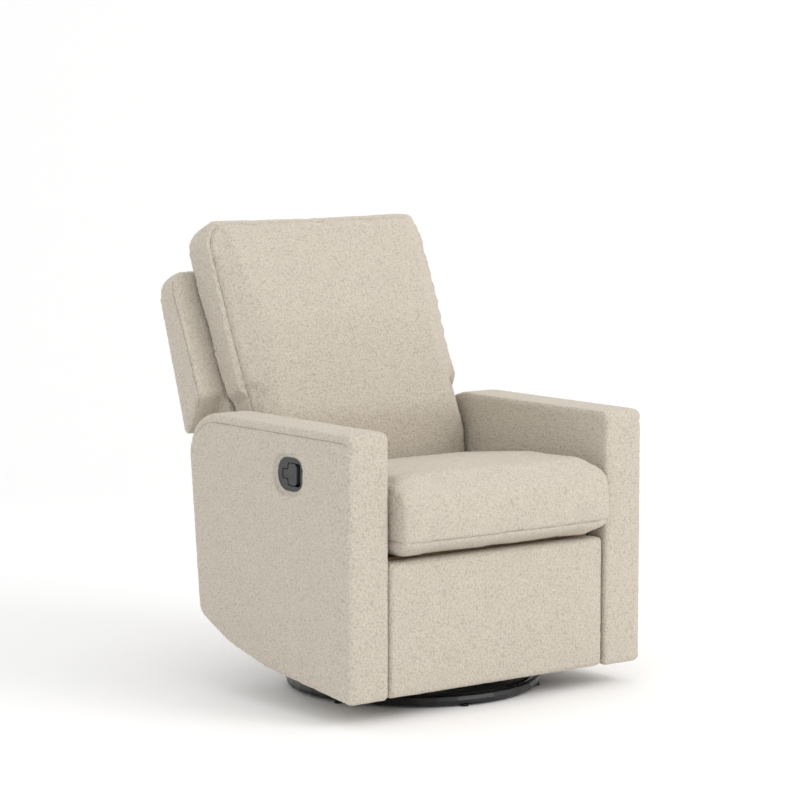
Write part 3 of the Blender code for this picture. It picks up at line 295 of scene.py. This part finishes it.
def coated_steel(name, colour, roughness):
    n = Nodes(name)
    peel = n.noise(900, 2.0, 0.5)
    smudge = n.noise(14, 3.0, 0.6)
    low, high = roughness - 0.06, roughness + 0.10
    dull = n.ramp(smudge.outputs["Fac"], [(0.3, (low,) * 3), (0.7, (high,) * 3)])
    n.link(dull, n.shader.inputs["Roughness"])
    pale = tuple(c * 1.25 + 0.002 for c in colour)
    shade = n.ramp(smudge.outputs["Fac"], [(0.35, colour), (0.75, pale)])
    n.link(shade, n.shader.inputs["Base Color"])
    n.set(Metallic=0.0, Specular_IOR_Level=0.5)
    n.link(n.bump(peel.outputs["Fac"], 0.0002, 0.5), n.shader.inputs["Normal"])
    return n.material


def zinc_material():
    n = Nodes("zinc_plate")
    cloud = n.noise(60, 4.0, 0.6)
    colour = n.ramp(cloud.outputs["Fac"], [(0.3, (0.42, 0.42, 0.41)), (0.7, (0.62, 0.62, 0.60))])
    n.link(colour, n.shader.inputs["Base Color"])
    grain = n.noise(900, 2.0, 0.5, stretch=(0.06, 1, 1))
    dull = n.ramp(grain.outputs["Fac"], [(0.3, (0.26,) * 3), (0.7, (0.42,) * 3)])
    n.link(dull, n.shader.inputs["Roughness"])
    n.set(Metallic=1.0)
    n.link(n.bump(grain.outputs["Fac"], 0.0001, 0.5), n.shader.inputs["Normal"])
    return n.material


def wood_material():
    n = Nodes("sawn_hardwood")
    grain = n.noise(38, 5.0, 0.62, stretch=(0.35, 4.0, 4.0))
    stops = [(0.3, (0.36, 0.22, 0.115)), (0.55, (0.55, 0.37, 0.21)), (0.8, (0.66, 0.48, 0.30))]
    n.link(n.ramp(grain.outputs["Fac"], stops), n.shader.inputs["Base Color"])
    saw = n.noise(420, 2.0, 0.6, stretch=(0.2, 1, 1))
    n.set(Roughness=0.72)
    n.link(n.bump(saw.outputs["Fac"], 0.0004, 0.6), n.shader.inputs["Normal"])
    return n.material


def plastic_material(name, colour, roughness):
    n = Nodes(name)
    grain = n.add("ShaderNodeTexVoronoi", feature="F1")
    grain.inputs["Scale"].default_value = 1300
    n.link(n.where, grain.inputs["Vector"])
    wear = n.noise(70, 3.0, 0.6)
    pale = tuple(c * 1.3 for c in colour)
    shade = n.ramp(wear.outputs["Fac"], [(0.35, colour), (0.7, pale)])
    n.link(shade, n.shader.inputs["Base Color"])
    n.set(Roughness=roughness, Specular_IOR_Level=0.45)
    n.link(n.bump(grain.outputs["Distance"], 0.00018, 0.6), n.shader.inputs["Normal"])
    return n.material


# Mesh work


def mesh_arrays(mesh):
    points = np.empty(len(mesh.vertices) * 3)
    mesh.vertices.foreach_get("co", points)
    normals = np.empty(len(mesh.vertices) * 3)
    mesh.vertices.foreach_get("normal", normals)
    return points.reshape(-1, 3), normals.reshape(-1, 3)


def put_points(mesh, points):
    mesh.vertices.foreach_set("co", points.astype(np.float32).ravel())
    mesh.update()


def applied(obj):
    """Turns the object's modifiers into its mesh."""
    graph = bpy.context.evaluated_depsgraph_get()
    mesh = bpy.data.meshes.new_from_object(obj.evaluated_get(graph))
    obj.modifiers.clear()
    old = obj.data
    obj.data = mesh
    bpy.data.meshes.remove(old)
    return obj


def remeshed(obj, voxel=VOXEL):
    modifier = obj.modifiers.new("voxels", "REMESH")
    modifier.mode = "VOXEL"
    modifier.voxel_size = voxel
    modifier.use_smooth_shade = True
    return applied(obj)


def relaxed(obj, rounds, factor=0.5):
    modifier = obj.modifiers.new("relax", "SMOOTH")
    modifier.iterations = rounds
    modifier.factor = factor
    return applied(obj)


def divided(obj):
    modifier = obj.modifiers.new("finer", "SUBSURF")
    modifier.levels = modifier.render_levels = 1
    modifier.subdivision_type = "SIMPLE"
    return relaxed(applied(obj), 2)


def inset(obj, distance):
    points, normals = mesh_arrays(obj.data)
    put_points(obj.data, points - normals * distance)


def inflate(obj, pressure, cap, frames=20):
    """Cloth with pressure inside and no gravity, its movement capped."""
    start, facing = mesh_arrays(obj.data)
    start = start.copy()
    cloth = obj.modifiers.new("cloth", "CLOTH")
    settings = cloth.settings
    settings.quality = 5
    settings.mass = 0.3
    settings.tension_stiffness = settings.compression_stiffness = 18
    settings.shear_stiffness = 8
    settings.bending_stiffness = 1.2
    settings.use_pressure = True
    settings.uniform_pressure_force = pressure
    settings.effector_weights.gravity = 0
    cloth.point_cache.frame_start, cloth.point_cache.frame_end = 1, frames
    scene = bpy.context.scene
    for step in range(1, frames + 1):
        scene.frame_set(step)
    applied(obj)
    scene.frame_set(1)
    moved, _ = mesh_arrays(obj.data)
    shift = moved - start
    outward = (shift * facing).sum(axis=1)
    shift = facing * np.where(outward < 0, outward * 0.15, outward)[:, None]
    length = np.linalg.norm(shift, axis=1)
    shift *= np.minimum(1.0, cap / np.maximum(length, 1e-9))[:, None]
    put_points(obj.data, start + shift)


def hold_inside(obj, solid, allowed):
    """Brings back what stands further out of the CAD solid than allowed(normal) says."""
    tree = BVHTree.FromPolygons(
        [v.co.copy() for v in solid.data.vertices], [tuple(p.vertices) for p in solid.data.polygons]
    )
    points, _ = mesh_arrays(obj.data)
    for index, point in enumerate(points):
        here = Vector(point)
        near, normal, _, distance = tree.find_nearest(here)
        out = (here - near).dot(normal)
        if out <= 0:
            continue
        limit = allowed(normal, here)
        if distance > limit:
            points[index] = near + (here - near) * (limit / distance)
    put_points(obj.data, points)


def crease(obj, path, depth, width):
    """Presses a seam into the surface along a path, and returns the bottom of the seam."""
    points, normals = mesh_arrays(obj.data)
    tree = BVHTree.FromPolygons(
        [Vector(p) for p in points], [tuple(p.vertices) for p in obj.data.polygons]
    )
    line = []
    for spot in path:
        near, normal, _, _ = tree.find_nearest(Vector(spot))
        line.append((near, normal))
    least = np.full(len(points), 9.0)
    for (a, _), (b, _) in zip(line, line[1:]):
        a, b = np.array(a), np.array(b)
        run = b - a
        long = max(float(run @ run), 1e-12)
        box = (np.minimum(a, b) - 4 * width, np.maximum(a, b) + 4 * width)
        near_by = np.flatnonzero(((points > box[0]) & (points < box[1])).all(axis=1))
        if not len(near_by):
            continue
        some = points[near_by]
        along = np.clip((some - a) @ run / long, 0, 1)
        gap = np.linalg.norm(some - (a + along[:, None] * run), axis=1)
        least[near_by] = np.minimum(least[near_by], gap)
    push = depth * np.exp(-((least / width) ** 2))
    put_points(obj.data, points - normals * push[:, None])
    line = [near - normal * depth for near, normal in line]
    for _ in range(4):
        line[1:-1] = [(a + 2 * b + c) / 4 for a, b, c in zip(line, line[1:], line[2:])]
    return line


def nubbly(obj, height=NUB, size=0.011):
    """The slight unevenness of looped cloth, as real relief."""
    points, normals = mesh_arrays(obj.data)
    lift = np.array([noise.noise(Vector(p) / size) for p in points])
    lift += 0.6 * np.array([noise.noise(Vector(p) / (size * 5)) for p in points])
    put_points(obj.data, points + normals * (lift * height)[:, None])


def rounded(corners, steps=6):
    """The outline through (a, b, radius) corners, each rounded by an arc."""
    points = []
    for index, (a, b, radius) in enumerate(corners):
        here = Vector((a, b))
        before = Vector(corners[index - 1][:2]) - here
        after = Vector(corners[(index + 1) % len(corners)][:2]) - here
        half = before.angle(after) / 2
        reach = min(radius / math.tan(half), 0.49 * before.length, 0.49 * after.length)
        start, end = here + before.normalized() * reach, here + after.normalized() * reach
        middle = (before.normalized() + after.normalized()).normalized()
        centre = here + middle * (reach * math.tan(half) / math.sin(half))
        turn = (start - centre).angle_signed(end - centre)
        for step in range(steps + 1):
            spoke = (start - centre).copy()
            spoke.rotate(Matrix.Rotation(-turn * step / steps, 2))
            points.append(centre + spoke)
    return points


def prism(name, outline, low, high, to_world, edge):
    """An outline given thickness, with its edges rounded; to_world(a, b, t) places a point."""
    shape = bmesh.new()
    rings = [[shape.verts.new(to_world(a, b, t)) for a, b in outline] for t in (low, high)]
    for index in range(len(outline)):
        ahead = (index + 1) % len(outline)
        shape.faces.new((rings[0][index], rings[0][ahead], rings[1][ahead], rings[1][index]))
    shape.faces.new(rings[1])
    shape.faces.new(rings[0][::-1])
    bmesh.ops.recalc_face_normals(shape, faces=shape.faces)
    if shape.calc_volume(signed=True) < 0:
        bmesh.ops.reverse_faces(shape, faces=shape.faces)
    mesh = bpy.data.meshes.new(name)
    shape.to_mesh(mesh)
    shape.free()
    obj = add_object(name, mesh)
    bevel = obj.modifiers.new("edge", "BEVEL")
    bevel.width = edge
    bevel.segments = 4
    bevel.limit_method = "ANGLE"
    bevel.angle_limit = math.radians(50)
    return applied(obj)


def between(points, step):
    """The same path with points no further apart than step."""
    found = []
    for a, b in zip(points, points[1:]):
        a, b = Vector(a), Vector(b)
        count = max(1, math.ceil((b - a).length / step))
        found += [a.lerp(b, index / count) for index in range(count)]
    return [*found, Vector(points[-1])]


def soft_copy(name, node, start_inside):
    obj = add_object(name, NODES[node].data.copy())
    remeshed(obj)
    relaxed(obj, 3)
    inset(obj, start_inside)
    return obj


def finish_soft(obj, body, nodes, material):
    obj.data.materials.clear()
    obj.data.materials.append(material)
    obj.data.shade_smooth()
    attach(obj, body)
    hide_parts(*nodes)


# Upholstery


def build_seat(fabric):
    seat = soft_copy("seat_cushion_cover", "seat_cushion", COVER_INSET)
    inflate(seat, CLOTH_PRESSURE, 0.024)
    solid = NODES["seat_cushion"]

    hold_inside(seat, solid, lambda normal, point: 0.006 if normal.z > 0.5 else 0.0005)
    relaxed(seat, 3)
    swell_seat(seat)
    divided(seat)
    half = SEAT_HIGH.x
    front = [
        (half, FRONT_Y + 0.10, SEAM_Z),
        (half, FRONT_Y, SEAM_Z),
        (half - 0.02, FRONT_Y - 0.035, SEAM_Z),
    ]
    front += [(-x, y, z) for x, y, z in reversed(front)]
    seams = [crease(seat, between(front, STITCH), 0.0030, 0.0042)]
    for side in (-1, 1):
        edge = [
            (side * (half - 0.004), FRONT_Y + 0.42, SEAT_HIGH.z - 0.02),
            (side * (half - 0.006), FRONT_Y + 0.03, SEAT_HIGH.z - 0.012),
            (side * (half - 0.006), FRONT_Y - 0.026, SEAT_HIGH.z - 0.05),
            (side * (half - 0.006), FRONT_Y - 0.028, SEAM_Z),
        ]
        crease(seat, between(edge, STITCH), 0.0022, 0.007)
    nubbly(seat)
    finish_soft(seat, "chair", ["seat_cushion"], fabric)
    return seams


def swell_seat(seat):
    """Fills out the cushion in front of the arms, and crowns its top."""
    points, _ = mesh_arrays(seat.data)
    low, high = np.array(SEAT_LOW), np.array(SEAT_HIGH)
    up = np.clip((points[:, 2] - low[2]) / (high[2] - low[2]), 0, 1)
    belly = np.sin(math.pi * np.clip(0.13 + 0.87 * up, 0, 1)) ** 0.6
    ahead = np.clip((FRONT_Y - 0.001 - points[:, 1]) / 0.022, 0, 1)
    ahead = ahead * ahead * (3 - 2 * ahead)
    points[:, 0] += np.sign(points[:, 0]) * 0.017 * ahead * belly * (abs(points[:, 0]) / high[0]) ** 4
    points[:, 1] -= 0.022 * ahead * belly * (1 - 0.3 * (points[:, 0] / high[0]) ** 4)
    across = 1 - (abs(points[:, 0]) / high[0]) ** 6
    from_front, from_rear = points[:, 1] - low[1], high[1] - points[:, 1]
    along = np.clip(from_front / 0.07, 0, 1) * np.clip(from_rear / 0.30, 0, 1)
    top = np.clip((up - 0.75) / 0.2, 0, 1)
    points[:, 2] += (0.002 + 0.003 * across) * np.sqrt(along) * top
    bottom = np.clip((0.30 - up) / 0.30, 0, 1) * ahead
    points[:, 2] += 0.010 * bottom * (abs(points[:, 0]) / high[0]) ** 8
    put_points(seat.data, points)


def build_back_cushion(fabric):
    cushion = soft_copy("back_cushion_cover", "back_cushion", COVER_INSET)
    inflate(cushion, CLOTH_PRESSURE, 0.025)
    solid = NODES["back_cushion"]
    outward = (BACK_FRAME.to_3x3() @ Vector((0, -1, 0))).normalized()

    def allowed(normal, point):
        up = (TO_BACK @ point).z
        free = min(max((up - 0.18) / 0.25, 0), 1)
        if normal.dot(outward) > 0.45:
            return 0.001 + 0.006 * free
        return 0.003 if up > CUSHION_STEP + 0.30 else 0.0002

    hold_inside(cushion, solid, allowed)
    relaxed(cushion, 3)
    divided(cushion)
    half, foot, top = CUSHION_HALF, CUSHION_FOOT_HALF, CUSHION_TOP
    ring = rounded(
        [
            (-half + SEAM_IN, CUSHION_STEP, 0.004),
            (-half + SEAM_IN, top - 0.020, CUSHION_CORNER - SEAM_IN),
            (half - SEAM_IN, top - 0.020, CUSHION_CORNER - SEAM_IN),
            (half - SEAM_IN, CUSHION_STEP, 0.004),
        ],
        10,
    )
    path = [(-foot + 0.010, 0.12), (-foot + 0.010, 0.25)] + [tuple(p) for p in ring[11:33]]
    path += [(foot - 0.010, 0.25), (foot - 0.010, 0.12)]
    spots = []
    for a, b in path:
        out = 0.080 if b < 0.6 else float(np.interp(abs(a), (0.20, half), (0.105, 0.080)))
        spots.append(BACK_FRAME @ Vector((a, -out, b)))
    seams = [crease(cushion, between(spots, STITCH), 0.0040, 0.0048)]
    nubbly(cushion)
    finish_soft(cushion, "back", ["back_cushion"], fabric)
    return seams


def build_shell(fabric):
    shell = soft_copy("outer_back_cover", "back_shell", 0.0)
    relaxed(shell, 3)
    divided(shell)
    seams = []
    for side in (-1, 1):
        edge = [(side * WING_HALF, 0.006, 0.26), (side * WING_HALF, -0.004, 0.585)]
        spots = [BACK_FRAME @ Vector((x, -n, s)) for x, n, s in edge]
        seams.append(crease(shell, between(spots, STITCH), 0.0028, 0.0045))
    nubbly(shell)
    finish_soft(shell, "back", ["back_shell"], fabric)
    return seams


def press_pocket(arm, face):
    """Lets the cover in behind the handle's plate, following the plate's oval."""
    low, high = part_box("handle_bezel")
    points, _ = mesh_arrays(arm.data)
    corner = 0.028
    away = abs(points[:, 1:] - np.array([low.y + high.y, low.z + high.z]) / 2)
    half = np.array([high.y - low.y, high.z - low.z]) / 2 - 0.004 - corner
    gap = np.linalg.norm(np.maximum(away - half, 0), axis=1) - corner
    outside = points[:, 0] < face + 0.03
    points[outside & (gap < 0), 0] = high.x + 0.003
    edge = outside & (gap >= 0) & (gap < 0.012)
    points[edge, 0] = np.maximum(points[edge, 0], face - 0.0005 - 0.004 * gap[edge] / 0.012)
    put_points(arm.data, points)


def arm_outline(step=0.0):
    depth = ARM_HIGH.y - FRONT_Y
    low = ARM_LOW.z
    return rounded(
        [
            (step, low + step, 0.010),
            (depth * 0.50, low + 0.035 + step, 0.300),
            (depth * 0.73, low + 0.068 + step, 0.300),
            (depth * 0.92 - step, low + 0.122 + step, 0.035),
            (depth - step, ARM_TOP - step, 0.095),
            (step, ARM_TOP - step, 0.020),
        ],
        8,
    )


def build_arm(hand, side, fabric):
    inner, outer = ARM_LOW.x, ARM_HIGH.x
    ends = (inner, outer) if side > 0 else (-outer, -inner)

    def spot(a, b, t):
        return Vector((t, FRONT_Y + a, b))

    arm = prism(f"arm_{hand}_cover", arm_outline(-0.004), *ends, spot, 0.008)
    remeshed(arm, 0.0062)
    relaxed(arm, 1)
    points, normals = mesh_arrays(arm.data)
    depth = ARM_HIGH.y - FRONT_Y
    a, b = points[:, 1] - FRONT_Y, points[:, 2]
    across = np.clip(np.minimum(a, depth - a) / 0.12, 0, 1)
    up = np.clip(np.minimum(b - ARM_LOW.z, ARM_TOP - b) / 0.12, 0, 1)
    facing = np.clip(normals[:, 0] * side, 0, 1)
    crown = 0.0045 * np.sin(across * math.pi / 2) * np.sin(up * math.pi / 2)
    points[:, 0] += side * (crown + 0.0055) * facing
    rear = np.clip((a - 0.75 * depth) / (0.2 * depth), 0, 1) * np.clip(normals[:, 1], 0, 1)
    points[:, 1] += 0.005 * rear
    put_points(arm.data, points)
    divided(arm)
    top = [p for p in arm_outline() if p.y > ARM_TOP - 0.075]
    top.sort(key=lambda p: -p.x + (0 if p.y > ARM_TOP - 0.03 else 0))
    edge = [spot(p.x, p.y - 0.015 if p.x < depth - 0.03 else p.y, side * outer) for p in top]
    seams = [crease(arm, between(edge, STITCH), 0.0024, 0.0040)]
    if side < 0:
        press_pocket(arm, -outer)
    nubbly(arm)
    finish_soft(arm, "chair", [f"arm_cover_{hand}"], fabric)
    return seams


def build_footrest(fabric):
    pad = add_object("footrest_cover", NODES["footrest_pad"].data.copy())
    remeshed(pad, 0.0055)
    relaxed(pad, 3)
    points, normals = mesh_arrays(pad.data)
    x = np.clip((PANEL_HIGH.x - abs(points[:, 0])) / 0.10, 0, 1)
    z = np.clip(np.minimum(points[:, 2] - PANEL_LOW.z, PANEL_HIGH.z - points[:, 2]) / 0.10, 0, 1)
    facing = np.clip(-normals[:, 1], 0, 1)
    points[:, 1] -= 0.004 * np.sin(x * math.pi / 2) * np.sin(z * math.pi / 2) * facing
    put_points(pad.data, points)
    divided(pad)
    nubbly(pad)
    finish_soft(pad, "footrest_panel", ["footrest_pad"], fabric)


def stitch_group():
    """Geometry Nodes: short thread stitches along a curve, every Pitch metres."""
    group = bpy.data.node_groups.new("stitches", "GeometryNodeTree")
    sockets = (
        ("Geometry", "NodeSocketGeometry", "INPUT"),
        ("Pitch", "NodeSocketFloat", "INPUT"),
        ("Thread", "NodeSocketFloat", "INPUT"),
        ("Length", "NodeSocketFloat", "INPUT"),
        ("Material", "NodeSocketMaterial", "INPUT"),
        ("Geometry", "NodeSocketGeometry", "OUTPUT"),
    )
    for name, kind, way in sockets:
        group.interface.new_socket(name, in_out=way, socket_type=kind)
    nodes, links = group.nodes, group.links
    start, end = nodes.new("NodeGroupInput"), nodes.new("NodeGroupOutput")
    spread = nodes.new("GeometryNodeResampleCurve")
    spread.mode = "LENGTH"
    links.new(start.outputs["Geometry"], spread.inputs["Curve"])
    links.new(start.outputs["Pitch"], spread.inputs["Length"])
    to_points = nodes.new("GeometryNodeCurveToPoints")
    to_points.mode = "EVALUATED"
    links.new(spread.outputs["Curve"], to_points.inputs["Curve"])
    bead = nodes.new("GeometryNodeMeshUVSphere")
    bead.inputs["Segments"].default_value = 8
    bead.inputs["Rings"].default_value = 6
    bead.inputs["Radius"].default_value = 1.0
    place = nodes.new("GeometryNodeInstanceOnPoints")
    links.new(to_points.outputs["Points"], place.inputs["Points"])
    links.new(bead.outputs["Mesh"], place.inputs["Instance"])
    links.new(to_points.outputs["Rotation"], place.inputs["Rotation"])
    size = nodes.new("ShaderNodeCombineXYZ")
    links.new(start.outputs["Thread"], size.inputs["X"])
    links.new(start.outputs["Thread"], size.inputs["Y"])
    links.new(start.outputs["Length"], size.inputs["Z"])
    links.new(size.outputs["Vector"], place.inputs["Scale"])
    real = nodes.new("GeometryNodeRealizeInstances")
    links.new(place.outputs["Instances"], real.inputs["Geometry"])
    smooth = nodes.new("GeometryNodeSetShadeSmooth")
    links.new(real.outputs["Geometry"], smooth.inputs["Geometry"])
    paint = nodes.new("GeometryNodeSetMaterial")
    links.new(smooth.outputs["Geometry"], paint.inputs["Geometry"])
    links.new(start.outputs["Material"], paint.inputs["Material"])
    links.new(paint.outputs["Geometry"], end.inputs["Geometry"])
    return group


def seam_curve(name, seams):
    curve = bpy.data.curves.new(name, "CURVE")
    curve.dimensions = "3D"
    for seam in seams:
        spline = curve.splines.new("POLY")
        spline.points.add(len(seam) - 1)
        for point, spot in zip(spline.points, seam):
            point.co = (*spot, 1)
    return bpy.data.objects.new(name, curve)


def build_seam_shade_lines(name, seams, body, shade):
    """Painted shade: a dark line lying in the bottom of each seam, where two panels meet."""
    line = seam_curve(name + "_line", seams)
    line.data.bevel_depth = 0.0010
    line.data.bevel_resolution = 1
    bpy.context.scene.collection.objects.link(line)
    bpy.context.view_layer.update()
    graph = bpy.context.evaluated_depsgraph_get()
    mesh = bpy.data.meshes.new_from_object(line.evaluated_get(graph))
    bpy.data.objects.remove(line, do_unlink=True)
    piece = add_object(name, mesh, shade)
    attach(piece, body)


def build_stitches(name, seams, body, group, thread):
    line = seam_curve(name + "_line", seams)
    bpy.context.scene.collection.objects.link(line)
    modifier = line.modifiers.new("stitches", "NODES")
    modifier.node_group = group
    values = {"Pitch": 0.0062, "Thread": 0.0006, "Length": 0.0022, "Material": thread}
    for item in group.interface.items_tree:
        if item.item_type == "SOCKET" and item.in_out == "INPUT" and item.name in values:
            modifier[item.identifier] = values[item.name]
    bpy.context.view_layer.update()
    graph = bpy.context.evaluated_depsgraph_get()
    mesh = bpy.data.meshes.new_from_object(line.evaluated_get(graph))
    bpy.data.objects.remove(line, do_unlink=True)
    stitches = add_object(name, mesh, thread)
    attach(stitches, body)


def paint_frame():
    """The finish of each CAD piece that stays in view."""
    steel = coated_steel("powder_coat", (0.006, 0.006, 0.0065), 0.36)
    dish = coated_steel("turntable_coat", (0.022, 0.025, 0.024), 0.42)
    finish = {
        "black_steel": steel,
        "bright_steel": zinc_material(),
        "hardwood": wood_material(),
        "handle_plastic": plastic_material("handle_plastic", (0.040, 0.042, 0.041), 0.48),
        "cable_sheath": plastic_material("cable_sheath", (0.015, 0.015, 0.016), 0.5),
        "rubber_pad": plastic_material("pad_rubber", (0.014, 0.014, 0.014), 0.8),
        "boucle": boucle_material("boucle_plain"),
    }
    for part in frame["record"]["subparts"]:
        obj = NODES[part["node"]]
        material = dish if part["node"] == "turntable_plate" else finish[part["material_slot"]]
        obj.data.materials.clear()
        obj.data.materials.append(material)


def main():
    build_stage(build_camera())
    paint_frame()
    fabric = boucle_material()
    thread = plastic_material("sewing_thread", (0.50, 0.43, 0.34), 0.8)
    # Painted shade: a darker fabric colour for the lines lying in the seam bottoms.
    shade = plastic_material("seam_shade", (0.34, 0.29, 0.225), 0.95)
    group = stitch_group()
    chair_seams = build_seat(fabric)
    for hand, side in (("right", -1), ("left", 1)):
        chair_seams += build_arm(hand, side, fabric)
    build_stitches("chair_stitches", chair_seams, "chair", group, thread)
    build_seam_shade_lines("chair_seams", chair_seams, "chair", shade)
    back_seams = build_back_cushion(fabric) + build_shell(fabric)
    build_stitches("back_stitches", back_seams, "back", group, thread)
    build_seam_shade_lines("back_seams", back_seams, "back", shade)
    build_footrest(fabric)


main()
